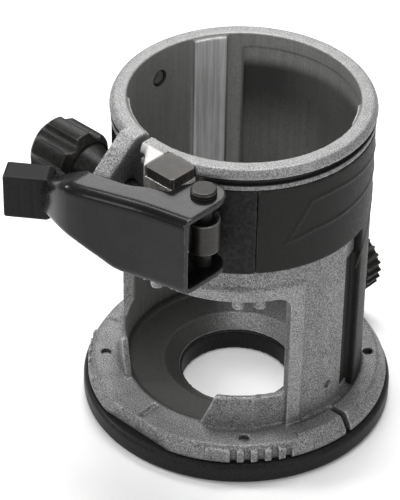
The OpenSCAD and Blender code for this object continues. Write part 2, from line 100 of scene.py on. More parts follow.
class Tree:
    """Adds and links nodes in one shader or geometry node tree."""

    def __init__(self, tree: NodeTree) -> None:
        """Wraps an existing tree."""
        self.tree = tree

    def add(self, kind: str, feeds: dict | None = None, **props: object) -> Node:
        """Adds a node.

        Args:
            kind: the node's type name.
            feeds: input name or index to a value or a socket.
            props: properties set on the node before its inputs.

        Returns:
            The new node.
        """
        node = self.tree.nodes.new(kind)
        for key, value in props.items():
            setattr(node, key, value)
        for key, value in (feeds or {}).items():
            self.feed(node.inputs[key], value)
        return node

    def feed(self, socket: Socket, value: Feed) -> None:
        """Links a socket, or sets its default value."""
        if isinstance(value, Socket):
            self.tree.links.new(value, socket)
        else:
            socket.default_value = value

    def math(self, operation: str, a: Feed, b: Feed = 0.0, c: Feed = 0.0,
             clamp: bool = False) -> Socket:
        """Adds a Math node and returns its output."""
        node = self.add("ShaderNodeMath", {0: a, 1: b, 2: c}, operation=operation, use_clamp=clamp)
        return node.outputs[0]

    def mix(self, factor: Feed, a: Feed, b: Feed) -> Socket:
        """Adds a colour Mix node and returns its result."""
        node = self.add("ShaderNodeMix", data_type="RGBA")
        self.feed(node.inputs[0], factor)
        self.feed(node.inputs[6], a)
        self.feed(node.inputs[7], b)
        return node.outputs[2]

    def span(self, value: Feed, low: float, high: float, out_low: float = 0.0,
             out_high: float = 1.0) -> Socket:
        """Adds a smooth Map Range node and returns its output."""
        node = self.add("ShaderNodeMapRange", {0: value, 1: low, 2: high, 3: out_low, 4: out_high},
                        interpolation_type="SMOOTHSTEP")
        return node.outputs[0]

    def above(self, value: Feed, level: float, soft: float) -> Socket:
        """A mask that is 1 above a level, with a soft change of the given width."""
        return self.span(value, level - soft / 2, level + soft / 2)

    def below(self, value: Feed, level: float, soft: float) -> Socket:
        """A mask that is 1 below a level, with a soft change of the given width."""
        return self.span(value, level + soft / 2, level - soft / 2)

    def all_of(self, *masks: Socket) -> Socket:
        """The product of masks."""
        return reduce(lambda a, b: self.math("MULTIPLY", a, b), masks)

    def any_of(self, *masks: Socket) -> Socket:
        """The largest of masks."""
        return reduce(lambda a, b: self.math("MAXIMUM", a, b), masks)

    def length(self, a: Feed, b: Feed) -> Socket:
        """The length of a flat vector."""
        return self.math("SQRT", self.math("ADD", self.math("MULTIPLY", a, a),
                                           self.math("MULTIPLY", b, b)))

    def noise(self, vector: Socket, scale: Feed, detail: float = 2.0, rough: float = 0.6) -> Socket:
        """Adds a Noise Texture and returns its factor."""
        node = self.add("ShaderNodeTexNoise", {"Vector": vector, "Scale": scale, "Detail": detail,
                                               "Roughness": rough})
        return node.outputs[0]


def make_group(name: str, kind: str, inputs: Iterable[tuple], outputs: Iterable[tuple],
               build: Callable) -> NodeTree:
    """Builds a node group.

    Args:
        name: the group's name.
        kind: the tree type.
        inputs: (name, socket type, default) of each input.
        outputs: (name, socket type) of each output.
        build: function of (tree, input node, output node) that adds the nodes.

    Returns:
        The new group.
    """
    group = bpy.data.node_groups.new(name, kind)
    for label, socket_type, default in inputs:
        item = group.interface.new_socket(name=label, in_out="INPUT", socket_type=socket_type)
        if default is not None:
            item.default_value = default
    for label, socket_type in outputs:
        group.interface.new_socket(name=label, in_out="OUTPUT", socket_type=socket_type)
    tree = Tree(group)
    build(tree, tree.add("NodeGroupInput"), tree.add("NodeGroupOutput"))
    return group


FLOAT = "NodeSocketFloat"


@dataclass(frozen=True)
class SleeveMarks:
    """Where the casting's tones change, painted shade and painted highlights among them: radii, heights,
    places and widths in metres.
    """

    bore_wall: float = 0.0346
    land_radius: float = 0.032825
    land_foot: float = 0.0595
    funnel_top: float = 0.01375
    ear_root: float = -0.0371
    ear_low: float = 0.0975
    split: float = -0.0047
    well_radius: float = 0.033875
    well_top: float = 0.0960
    well_front: float = 0.006
    side_way: Point = (0.724, 0.689)
    groove_radius: float = 0.03535
    groove_front: float = -0.0335
    groove: Point = (0.1008, 0.1029)
    screw_hole: tuple[float, float, float] = (0.02877, 0.02779, 0.0015)
    pin_hole: tuple[float, float, float] = (0.0, 0.0964, 0.0027)
    hole_low: float = 0.00975
    rib_radius: float = 0.036875
    rib: Point = (0.0150, 0.0635)
    rib_side: float = -0.00675
    mouth: float = 0.1031
    mouth_radius: float = 0.0332
    seam_turn: float = 0.697
    seam: Point = (0.01275, 0.02425)
    seam_radius: float = 0.03635
    floor_top: float = 0.01285
    floor_radius: float = 0.03425
    floor_back: float = 0.010
    floor_side: float = -0.003


class Effects:
    """The effects that several finishes share, one node group each."""

    def __init__(self) -> None:
        """Builds the groups."""
        self.blast = make_group(
            "blasted_speckle", "ShaderNodeTree", [("Scale", FLOAT, 1500.0), ("Contrast", FLOAT, 1.0)],
            [("Shade", FLOAT), ("Height", FLOAT)], self._blast)
        # edge wear, with painted shade in the hollows
        self.wear = make_group(
            "edge_wear_and_hollow_shade", "ShaderNodeTree",
            [("Edge", FLOAT, 0.0), ("Amount", FLOAT, 1.0), ("Scale", FLOAT, 400.0)],
            [("Worn", FLOAT), ("Hollow_shade", FLOAT)], self._wear_and_hollow_shade)
        self.grain = make_group(
            "moulded_grain", "ShaderNodeTree", [("Scale", FLOAT, 1200.0), ("Leather", FLOAT, 0.0)],
            [("Shade", FLOAT), ("Height", FLOAT)], self._grain)
        self.zones = make_group(
            "sleeve_zones", "ShaderNodeTree", [],
            [(name, FLOAT) for name in ("Inside", "Land", "Ear", "Well_shade", "Groove_hole_shade", "Bright", "Floor_shade")],
            self._zones)
        self.streaks = make_group(
            "machining_streaks", "ShaderNodeTree",
            [("Across", FLOAT, 900.0), ("Along", FLOAT, 40.0)], [("Shade", FLOAT), ("Height", FLOAT)],
            self._streaks)

    @staticmethod
    def _blast(t: Tree, inp: Node, out: Node) -> None:
        """Bead-blasted speckle: two scales of noise and bright facets."""
        where = t.add("ShaderNodeTexCoord").outputs["Object"]
        fine = t.noise(where, inp.outputs["Scale"], 1.5, 0.7)
        broad = t.noise(where, t.math("MULTIPLY", inp.outputs["Scale"], 0.09), 2.0, 0.5)
        facet = t.add("ShaderNodeTexVoronoi",
                      {"Vector": where, "Scale": t.math("MULTIPLY", inp.outputs["Scale"], 0.75)})
        sharp = t.math("MULTIPLY_ADD", t.math("SUBTRACT", fine, 0.5), inp.outputs["Contrast"], 0.5)
        sharp = t.math("MULTIPLY_ADD", t.math("SUBTRACT", broad, 0.5), 0.35, sharp)
        t.feed(out.inputs["Shade"], t.math("MULTIPLY_ADD", facet.outputs["Distance"], -0.25,
                                           t.math("ADD", sharp, 0.1), clamp=True))
        t.feed(out.inputs["Height"], t.math("MULTIPLY_ADD", facet.outputs["Distance"], -0.6, fine))

    @staticmethod
    def _wear_and_hollow_shade(t: Tree, inp: Node, out: Node) -> None:
        """Pale rubbed edges and painted shade in the hollows, broken up by noise."""
        where = t.add("ShaderNodeTexCoord").outputs["Object"]
        broken = t.math("SUBTRACT", t.noise(where, inp.outputs["Scale"], 3.0, 0.65), 0.5)
        rough_edge = t.math("MULTIPLY_ADD", broken, 0.5, inp.outputs["Edge"])
        t.feed(out.inputs["Worn"], t.math("MULTIPLY", t.span(rough_edge, 0.16, 0.62),
                                          inp.outputs["Amount"], clamp=True))
        t.feed(out.inputs["Hollow_shade"], t.span(t.math("MULTIPLY", inp.outputs["Edge"], -1.0), 0.1, 0.6))

    @staticmethod
    def _grain(t: Tree, inp: Node, out: Node) -> None:
        """Moulded grain that turns from fine sand to a leather pattern."""
        where = t.add("ShaderNodeTexCoord").outputs["Object"]
        sand = t.noise(where, inp.outputs["Scale"], 3.0, 0.6)
        cells = t.add("ShaderNodeTexVoronoi",
                      {"Vector": where, "Scale": t.math("MULTIPLY", inp.outputs["Scale"], 0.6),
                       "Randomness": 0.9}, feature="SMOOTH_F1").outputs["Distance"]
        shade = t.mix(inp.outputs["Leather"], sand, cells)
        t.feed(out.inputs["Shade"], shade)
        t.feed(out.inputs["Height"], shade)

    @staticmethod
    def _zones(t: Tree, inp: Node, out: Node) -> None:
        """Where the bore's walls and lands and the ears' tops lie, and where shade is painted into the
        well, the groove, the holes and the foot's floor and highlights onto the rib, the mouth band, the
        seam and the back of the floor.
        """
        m = SleeveMarks()
        split = t.add("ShaderNodeSeparateXYZ", {0: t.add("ShaderNodeTexCoord").outputs["Object"]})
        x, y, z = split.outputs
        radius = t.length(x, y)
        slant = t.math("ADD", t.math("MULTIPLY", x, m.side_way[0]), t.math("MULTIPLY", y, m.side_way[1]))
        inside = t.below(radius, m.bore_wall, 0.0003)
        # painted shade: the well beside the land is darkened, its strength changing with side and height
        well_shade = t.all_of(t.above(radius, m.well_radius, 0.00025), inside, t.below(z, m.well_top, 0.005),
                        t.span(slant, 0.028, 0.008, 0.72, 1.0), t.span(z, 0.066, 0.088, 0.55, 1.0))
        # painted shade in the groove under the mouth band and in the screw and pin holes
        dark = t.all_of(t.above(radius, m.groove_radius, 0.0003), t.above(y, m.groove_front, 0.001),
                        t.above(z, m.groove[0], 0.0004), t.below(z, m.groove[1], 0.0004))
        for across, up, (place, height, reach) in ((x, y, m.screw_hole), (y, z, m.pin_hole)):
            far = t.length(t.math("SUBTRACT", t.math("ABSOLUTE", across), place),
                           t.math("SUBTRACT", t.math("ABSOLUTE", up), height))
            spot = t.all_of(t.below(far, reach, 0.0004), t.above(z, m.hole_low, 0.0015))
            dark = t.any_of(dark, spot)
        # painted highlights: the rib, the mouth band, the seam line and the back of the foot's floor
        proud = t.all_of(t.above(radius, m.rib_radius, 0.00025), t.below(z, m.rib[1], 0.001),
                         t.above(z, m.rib[0], 0.001), t.below(y, m.rib_side, 0.0015))
        mouth = t.all_of(t.above(z, m.mouth, 0.0006), t.above(radius, m.mouth_radius, 0.0004))
        turn = t.math("ABSOLUTE", t.math("ADD", t.math("ARCTAN2", y, x), m.seam_turn))
        seam = t.all_of(t.below(turn, 0.010, 0.006), t.below(z, m.seam[1], 0.0005),
                        t.above(z, m.seam[0], 0.0005), t.below(radius, m.seam_radius, 0.0003))
        # the foot's floor inside the ring: painted shade on one side, a painted highlight at the back
        low = t.all_of(t.below(z, m.floor_top, 0.0013), t.below(radius, m.floor_radius, 0.0015))
        highlight = t.any_of(proud, mouth, seam, t.all_of(low, t.above(y, m.floor_back, 0.012)))
        masks = {
            "Inside": t.all_of(inside, t.above(z, m.funnel_top, 0.0025)),
            "Land": t.all_of(t.below(radius, m.land_radius, 0.00035), t.above(z, m.land_foot, 0.001)),
            "Ear": t.all_of(t.below(y, m.ear_root, 0.0006), t.above(z, m.ear_low, 0.005),
                            t.above(x, m.split, 0.001)),
            "Well_shade": t.all_of(well_shade, t.above(y, m.well_front, 0.012)),
            "Groove_hole_shade": dark,
            "Bright": highlight,
            "Floor_shade": t.all_of(low, t.below(slant, m.floor_side, 0.014))}
        for name, mask in masks.items():
            t.feed(out.inputs[name], mask)

    @staticmethod
    def _streaks(t: Tree, inp: Node, out: Node) -> None:
        """Noise drawn out along Z, as a boring tool or a die's draft leaves."""
        scale = t.add("ShaderNodeCombineXYZ", {0: inp.outputs["Across"], 1: inp.outputs["Across"],
                                               2: inp.outputs["Along"]})
        where = t.add("ShaderNodeVectorMath", {0: t.add("ShaderNodeTexCoord").outputs["Object"],
                                               1: scale.outputs[0]}, operation="MULTIPLY")
        lines = t.noise(where.outputs[0], 1.0, 3.0, 0.6)
        t.feed(out.inputs["Shade"], lines)
        t.feed(out.inputs["Height"], lines)


@dataclass(frozen=True)
class Finish:
    """One finish: its colours, its gloss and how its small detail is sized."""

    name: str
    slot: str
    kind: Kind
    base: Colour
    worn: Colour
    rough: float
    metallic: float = 0.0
    wear: float = 0.6
    scale: float = 1200.0
    contrast: float = 1.0
    leather: float = 0.0
    bump: float = 0.03
    rough_swing: float = 0.12
    coat: float = 0.0
    coat_rough: float = 0.2
    mottle: float = 0.4


def grey(value: float, tint: tuple[float, float, float] = (1.0, 1.0, 1.0)) -> Colour:
    """A grey, optionally tinted."""
    return (value * tint[0], value * tint[1], value * tint[2], 1.0)


WARM = (1.04, 1.0, 0.95)
BROWN = (1.15, 1.0, 0.85)
TAN = (1.1, 1.0, 0.9)
MOULDED_SHINE = 0.14
PAINT_SHINE = 0.12
CAST = Finish("bead_blasted_casting", "cast_aluminium", Kind.CASTING, grey(0.33), grey(0.50), 0.48,
              metallic=0.45, wear=0.55, scale=2500.0, contrast=2.3, bump=0.05)
SOLE = Finish("sub_base_phenolic", "sub_base_plastic", Kind.MOULDED, grey(0.009), grey(0.045), 0.42,
              wear=0.5, scale=1900.0, bump=0.03, mottle=0.9)
RUBBER = Finish("grip_rubber", "grip_rubber", Kind.MOULDED, grey(0.012, WARM), grey(0.075, WARM), 0.50,
                wear=0.55, scale=900.0, bump=0.008, mottle=0.3)
PANEL = Finish("panel_leather_grain", "panel_plastic", Kind.MOULDED, grey(0.010), grey(0.045), 0.48,
               wear=0.4, scale=1500.0, leather=0.75, bump=0.10, mottle=0.9)
STEEL = Finish("zinc_plated_steel", "zinc_steel", Kind.METAL, grey(0.60), grey(0.85), 0.28,
               metallic=1.0, scale=900.0, bump=0.01)
BLOCK = Finish("machined_block", "block_zinc", Kind.METAL, grey(0.50, WARM), grey(0.90), 0.30,
               metallic=0.9, scale=700.0, bump=0.015)
OXIDE = Finish("black_oxide_pin", "black_steel", Kind.PAINT, grey(0.020, WARM), grey(0.16, WARM), 0.36,
               metallic=0.4, wear=0.5, scale=800.0, bump=0.015)
LACQUER = Finish("satin_lever_paint", "lever_paint", Kind.PAINT, grey(0.005), grey(0.10), 0.27,
                 wear=0.5, scale=1500.0, bump=0.006, coat=0.22, coat_rough=0.15)
TIP = Finish("tip_rubber", "tip_rubber", Kind.MOULDED, grey(0.009), grey(0.055), 0.50,
             wear=0.6, scale=1100.0, bump=0.012, mottle=0.4)
KNOB = Finish("moulded_knob", "knob_plastic", Kind.MOULDED, grey(0.009, WARM), grey(0.085, BROWN), 0.33,
              wear=0.7, scale=1000.0, bump=0.010, mottle=0.4)
CAP = Finish("block_cap_plate", "knob_plastic", Kind.PAINT, grey(0.030, TAN), grey(0.25, WARM), 0.27,
             metallic=0.25, wear=0.5, scale=1800.0, bump=0.03)
# dark steel, darkened further as painted shade for its place inside the lever's channel
BOLT_STEEL_SHADED = Finish("bolt_steel_painted_shade", "zinc_steel", Kind.METAL, grey(0.05, WARM), grey(0.3), 0.30,
               metallic=0.9, scale=900.0, bump=0.01)
BRASS = Finish("turned_brass", "insert_brass", Kind.METAL, (0.70, 0.50, 0.22, 1.0),
               (0.9, 0.7, 0.4, 1.0), 0.30, metallic=1.0, scale=700.0, bump=0.01)


class Paintshop:
    """Turns finishes into materials, each built once."""

    def __init__(self) -> None:
        """Builds the shared effects."""
        self.effects = Effects()
        self.made: dict[str, Material] = {}

    def get(self, finish: Finish) -> Material:
        """The material of a finish.

        Args:
            finish: the finish wanted.

        Returns:
            Its material, made on the first call.
        """
        if finish.name not in self.made:
            material = bpy.data.materials.new(finish.name)
            material.use_nodes = True
            material.node_tree.nodes.clear()
            tree = Tree(material.node_tree)
            shader = tree.add("ShaderNodeBsdfPrincipled")
            shader.inputs["Coat Weight"].default_value = finish.coat
            shader.inputs["Coat Roughness"].default_value = finish.coat_rough
            tree.add("ShaderNodeOutputMaterial", {0: shader.outputs[0]})
            painter = {Kind.CASTING: self._casting, Kind.MOULDED: self._moulded,
                       Kind.METAL: self._metal, Kind.PAINT: self._paint}[finish.kind]
            painter(tree, shader, finish)
            self.made[finish.name] = material
        return self.made[finish.name]

    def _group(self, tree: Tree, group: NodeTree, **feeds: Feed) -> Node:
        """Places a shared effect and sets its inputs."""
        node = tree.add("ShaderNodeGroup", node_tree=group)
        for key, value in feeds.items():
            tree.feed(node.inputs[key], value)
        return node

    def _wear_and_hollow_shade(self, tree: Tree, finish: Finish) -> Node:
        """The edge wear and painted hollow shade effect, fed by the piece's own edge attribute."""
        edge = tree.add("ShaderNodeAttribute", attribute_name="edge").outputs["Fac"]
        return self._group(tree, self.effects.wear, Edge=edge, Amount=finish.wear,
                           Scale=finish.scale * 0.3)

    @staticmethod
    def _bump(tree: Tree, shader: Node, height: Socket, depth_mm: float, strength: float) -> None:
        """Feeds the shader's normal from a height."""
        bump = tree.add("ShaderNodeBump", {"Height": height, "Distance": depth_mm * MM,
                                           "Strength": strength})
        tree.feed(shader.inputs["Normal"], bump.outputs[0])

    def _casting(self, tree: Tree, shader: Node, finish: Finish) -> None:
        """Blasted aluminium, with the smoother bore, its lands and the machined ear, painted shade in the
        well, the groove, the holes, the hollows and on the foot's floor, and painted highlights on the
        rib, the mouth band, the seam and the back of the floor.
        """
        speckle = self._group(tree, self.effects.blast, Scale=finish.scale, Contrast=finish.contrast)
        wear = self._wear_and_hollow_shade(tree, finish)
        zone = self._group(tree, self.effects.zones)
        streak = self._group(tree, self.effects.streaks)
        shade = speckle.outputs["Shade"]
        skin = tree.mix(shade, grey(0.030), finish.base)
        # painted highlight on the rib, the mouth band, the seam and the back of the floor
        skin = tree.mix(zone.outputs["Bright"], skin, tree.mix(shade, grey(0.09), grey(0.38)))
        smooth = tree.mix(tree.span(streak.outputs["Shade"], 0.3, 0.7), grey(0.215, (1.0, 1.0, 0.96)),
                          grey(0.265, (1.0, 1.0, 0.96)))
        smooth = tree.mix(0.2, smooth, skin)
        land = tree.mix(tree.span(streak.outputs["Shade"], 0.35, 0.65), grey(0.42), grey(0.60))
        colour = tree.mix(zone.outputs["Inside"], skin, smooth)
        colour = tree.mix(zone.outputs["Land"], colour, land)
        # painted shade darkens the well beside the land
        colour = tree.mix(tree.math("MULTIPLY", zone.outputs["Well_shade"], 0.97), colour, grey(0.016, WARM))
        # painted shade on one side of the foot's floor
        colour = tree.mix(tree.math("MULTIPLY", zone.outputs["Floor_shade"], 0.85), colour, grey(0.035, WARM))
        colour = tree.mix(zone.outputs["Ear"], colour, tree.mix(shade, grey(0.40, WARM), grey(0.52)))
        # painted shade darkens the hollows
        colour = tree.mix(tree.math("MULTIPLY", wear.outputs["Hollow_shade"], 0.7), colour, grey(0.03, WARM))
        colour = tree.mix(wear.outputs["Worn"], colour, finish.worn)
        # painted shade in the groove and the holes
        colour = tree.mix(zone.outputs["Groove_hole_shade"], colour, grey(0.012))
        tree.feed(shader.inputs["Base Color"], colour)
        rough = tree.span(shade, 0.2, 0.8, finish.rough + 0.14, finish.rough - 0.06)
        tree.feed(shader.inputs["Roughness"], rough)
        shader.inputs["Metallic"].default_value = finish.metallic
        calm = tree.math("SUBTRACT", 1.0, tree.math("MULTIPLY", zone.outputs["Inside"], 0.75))
        height = tree.math("MULTIPLY", speckle.outputs["Height"], calm)
        self._bump(tree, shader, height, finish.bump, 0.8)

    def _colours(self, tree: Tree, shader: Node, finish: Finish, shade: Socket,
                 tones: Point) -> Node:
        """Mottles the base colour between two tones and wears its edges.

        Args:
            tree: the material's tree.
            shader: the shader that is fed.
            finish: the finish.
            shade: the socket that drives the mottling.
            tones: the darkest and the palest share of the base colour.

        Returns:
            The wear effect's node.
        """
        wear = self._wear_and_hollow_shade(tree, finish)
        dark, pale = (tuple(c * tone for c in finish.base[:3]) + (1.0,) for tone in tones)
        colour = tree.mix(tree.span(shade, 0.3, 0.7), dark, pale)
        tree.feed(shader.inputs["Base Color"], tree.mix(wear.outputs["Worn"], colour, finish.worn))
        return wear

    def _moulded(self, tree: Tree, shader: Node, finish: Finish) -> None:
        """Rubber and moulded plastic: grain, mottling and paler rubbed edges."""
        grain = self._group(tree, self.effects.grain, Scale=finish.scale, Leather=finish.leather)
        shade = grain.outputs["Shade"]
        self._colours(tree, shader, finish, shade, (1.0 - 0.6 * finish.mottle, 1.0 + 1.1 * finish.mottle))
        rough = tree.span(shade, 0.25, 0.75, finish.rough - finish.rough_swing / 2,
                          finish.rough + finish.rough_swing)
        tree.feed(shader.inputs["Roughness"], rough)
        shader.inputs["Specular IOR Level"].default_value = MOULDED_SHINE
        self._bump(tree, shader, grain.outputs["Height"], finish.bump, 0.7)

    def _metal(self, tree: Tree, shader: Node, finish: Finish) -> None:
        """Bare metal with fine tool marks."""
        streak = self._group(tree, self.effects.streaks, Across=finish.scale, Along=finish.scale)
        shade = streak.outputs["Shade"]
        self._colours(tree, shader, finish, shade, (0.72, 1.0))
        tree.feed(shader.inputs["Roughness"],
                  tree.span(shade, 0.3, 0.7, finish.rough, finish.rough + 0.15))
        shader.inputs["Metallic"].default_value = finish.metallic
        self._bump(tree, shader, streak.outputs["Height"], finish.bump, 0.6)

    def _paint(self, tree: Tree, shader: Node, finish: Finish) -> None:
        """Satin paint on steel: orange peel, pale edges where it is rubbed through."""
        grain = self._group(tree, self.effects.grain, Scale=finish.scale)
        cloud = tree.noise(tree.add("ShaderNodeTexCoord").outputs["Object"], 90.0, 3.0, 0.55)
        wear = self._colours(tree, shader, finish, cloud, (0.7, 1.5))
        swing = tree.math("MULTIPLY_ADD", cloud, 0.12, tree.math("MULTIPLY", grain.outputs["Shade"], 0.14))
        tree.feed(shader.inputs["Roughness"], tree.math("ADD", swing, finish.rough - 0.13))
        bare = tree.math("MULTIPLY", wear.outputs["Worn"], 0.7)
        tree.feed(shader.inputs["Metallic"], tree.math("MAXIMUM", bare, finish.metallic))
        shader.inputs["Specular IOR Level"].default_value = PAINT_SHINE
        self._bump(tree, shader, grain.outputs["Height"], finish.bump, 0.5)


# ---------------------------------------------------------------------------------------------
# meshes


def joint_place(name: str) -> tuple[float, float, float]:
    """Where a joint's axis stands, in mm."""
    joints = frame["record"]["behaviour"]["joints"]
    place = next(joint["pos_m"] for joint in joints if joint["name"] == name)
    return tuple(round(c / MM, 3) for c in place)


def box_mm(node: str, corner: int, axis: int) -> float:
    """One bound of a CAD node's box in mm: corner 0 is the lowest, 1 the highest."""
    return round(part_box(node)[corner][axis] / MM, 3)


def new_object(name: str, mesh: Mesh) -> Object:
    """Links a new object for a mesh."""
    obj = bpy.data.objects.new(name, mesh)
    bpy.context.scene.collection.objects.link(obj)
    return obj


def drop_object(obj: Object) -> None:
    """Deletes a helper object and its mesh."""
    mesh = obj.data
    bpy.data.objects.remove(obj)
    bpy.data.meshes.remove(mesh)


def merged_cad(node: str) -> BMesh:
    """A merged copy of a CAD node's triangles.

    Args:
        node: the CAD node's name.

    Returns:
        A new bmesh with its doubles merged.
    """
    bm = bmesh.new()
    bm.from_mesh(frame["nodes"][node].data)
    bmesh.ops.remove_doubles(bm, verts=bm.verts, dist=2e-6)
    return bm


def to_mesh(bm: BMesh, name: str) -> Mesh:
    """Writes a bmesh to a new mesh and frees it."""
    mesh = bpy.data.meshes.new(name)
    bm.to_mesh(mesh)
    bm.free()
    return mesh


def bake_modifiers(obj: Object) -> None:
    """Turns an object's modifiers into its plain mesh."""
    graph = bpy.context.evaluated_depsgraph_get()
    mesh = bpy.data.meshes.new_from_object(obj.evaluated_get(graph))
    old = obj.data
    obj.modifiers.clear()
    obj.data = mesh
    bpy.data.meshes.remove(old)


def mark_edges(mesh: Mesh) -> None:
    """Stores how far each vertex bends outwards (positive) or inwards as the attribute "edge".

    Args:
        mesh: an evenly meshed surface, with its faces pointing outwards.
    """
    count = len(mesh.vertices)
    place = np.empty(count * 3)
    mesh.vertices.foreach_get("co", place)
    place = place.reshape(-1, 3)
    normal = np.empty(count * 3)
    mesh.vertex_normals.foreach_get("vector", normal)
    normal = normal.reshape(-1, 3)
    ends = np.empty(len(mesh.edges) * 2, dtype=np.int64)
    mesh.edges.foreach_get("vertices", ends)
    a, b = ends.reshape(-1, 2).T
    step = place[a] - place[b]
    square = np.maximum((step ** 2).sum(1), 1e-12)
    total = np.zeros(count)
    number = np.zeros(count)
    np.add.at(total, a, (normal[a] * step).sum(1) / square)
    np.add.at(total, b, -(normal[b] * step).sum(1) / square)
    np.add.at(number, a, 1)
    np.add.at(number, b, 1)
    bend = np.clip(total / np.maximum(number, 1) * MM, -BEND_LIMIT, BEND_LIMIT)
    for _ in range(2):
        near = np.zeros(count)
        np.add.at(near, a, bend[b])
        np.add.at(near, b, bend[a])
        bend = 0.5 * bend + 0.5 * near / np.maximum(number, 1)
    layer = mesh.attributes.new("edge", "FLOAT", "POINT")
    layer.data.foreach_set("value", bend.astype(np.float32))


def relax(obj: Object, voxel: float, rounds: int, keep: float) -> None:
    """Remeshes a closed solid on an even grid and relaxes it, so that its edges turn over.

    Args:
        obj: the object, whose mesh is replaced.
        voxel: the grid's size in mm.
        rounds: how often the surface is relaxed.
        keep: share of the faces that is kept.
    """
    grid = obj.modifiers.new("grid", "REMESH")
    grid.mode = "VOXEL"
    grid.voxel_size = voxel * MM
    calm = obj.modifiers.new("calm", "SMOOTH")
    calm.iterations = rounds
    calm.factor = 0.5
    if keep < 1.0:
        thin = obj.modifiers.new("thin", "DECIMATE")
        thin.ratio = keep
    bake_modifiers(obj)
    obj.data.shade_smooth()
    mark_edges(obj.data)


def loop_through(points: Sequence[Point], sharp: Iterable[int], steps: int = 6) -> list[Point]:
    """A closed loop through points, smooth except at the sharp ones.

    Args:
        points: the corners in order.
        sharp: indices of the points that stay corners.
        steps: how many pieces each stretch gets.

    Returns:
        The points of the finer loop.
    """
    hard = set(sharp)
    count = len(points)
    out: list[Point] = []
    for i in range(count):
        j = (i + 1) % count
        p1, p2 = Vector(points[i]), Vector(points[j])
        p0 = p1 if i in hard else Vector(points[i - 1])
        p3 = p2 if j in hard else Vector(points[(j + 1) % count])
        for k in range(steps):
            s = k / steps
            q = 0.5 * ((2 * p1) + (p2 - p0) * s + (2 * p0 - 5 * p1 + 4 * p2 - p3) * s * s
                       + (3 * p1 - p0 - 3 * p2 + p3) * s ** 3)
            out.append((q.x, q.y))
    return out


def prism(outline: Sequence[Point], low: float, high: float,
          turn: Matrix | None = None) -> BMesh:
    """A prism from a closed outline.

    Args:
        outline: (x, y) points in mm.
        low: its lower end in mm.
        high: its upper end in mm.
        turn: an optional matrix, in mm, applied to the finished prism.

    Returns:
        A new bmesh in metres with outward faces.
    """
    bm = bmesh.new()
    bottom = [bm.verts.new((x, y, low)) for x, y in outline]
    top = [bm.verts.new((x, y, high)) for x, y in outline]
    bm.faces.new(bottom[::-1])
    bm.faces.new(top)
    for i in range(len(outline)):
        j = (i + 1) % len(outline)
        bm.faces.new((bottom[i], bottom[j], top[j], top[i]))
    bmesh.ops.transform(bm, matrix=Matrix.Scale(MM, 4) @ (turn or Matrix()), verts=bm.verts)
    bmesh.ops.recalc_face_normals(bm, faces=bm.faces)
    return bm


def lathe(profile: Sequence[Point], place: Matrix, segments: int) -> BMesh:
    """A turned solid.

    Args:
        profile: (radius, height) points in mm; points on the axis have radius 0.
        place: where the axis stands, in mm.
        segments: number of faces round the axis.

    Returns:
        A new bmesh in metres, closed, with outward faces.
    """
    bm = bmesh.new()
    rings = []
    for radius, height in profile:
        if radius == 0.0:
            rings.append([bm.verts.new((0.0, 0.0, height))] * segments)
        else:
            rings.append([bm.verts.new((radius * math.cos(math.tau * k / segments),
                                        radius * math.sin(math.tau * k / segments), height))
                          for k in range(segments)])
    closed = profile[0][0] != 0.0
    pairs = list(zip(rings, rings[1:])) + ([(rings[-1], rings[0])] if closed else [])
    for lower, upper in pairs:
        for k in range(segments):
            j = (k + 1) % segments
            corners = list(dict.fromkeys((lower[k], lower[j], upper[j], upper[k])))
            if len(corners) > 2:
                bm.faces.new(corners)
    bmesh.ops.transform(bm, matrix=Matrix.Scale(MM, 4) @ place, verts=bm.verts)
    bmesh.ops.recalc_face_normals(bm, faces=bm.faces)
    return bm


def carve(target: Object, tool: BMesh, operation: str) -> None:
    """Cuts, meets or joins an object with a tool, which is used up.

    Args:
        target: the object whose mesh changes.
        tool: the other solid.
        operation: DIFFERENCE, INTERSECT or UNION.
    """
    other = new_object("tool", to_mesh(tool, "tool"))
    step = target.modifiers.new("carve", "BOOLEAN")
    step.operation = operation
    step.solver = "EXACT"
    step.object = other
    bake_modifiers(target)
    drop_object(other)


@dataclass
class Piece:
    """What a finished piece is called, what it stands for and how it is dressed."""

    name: str
    body: Body
    finish: Finish
    nodes: tuple[str, ...]


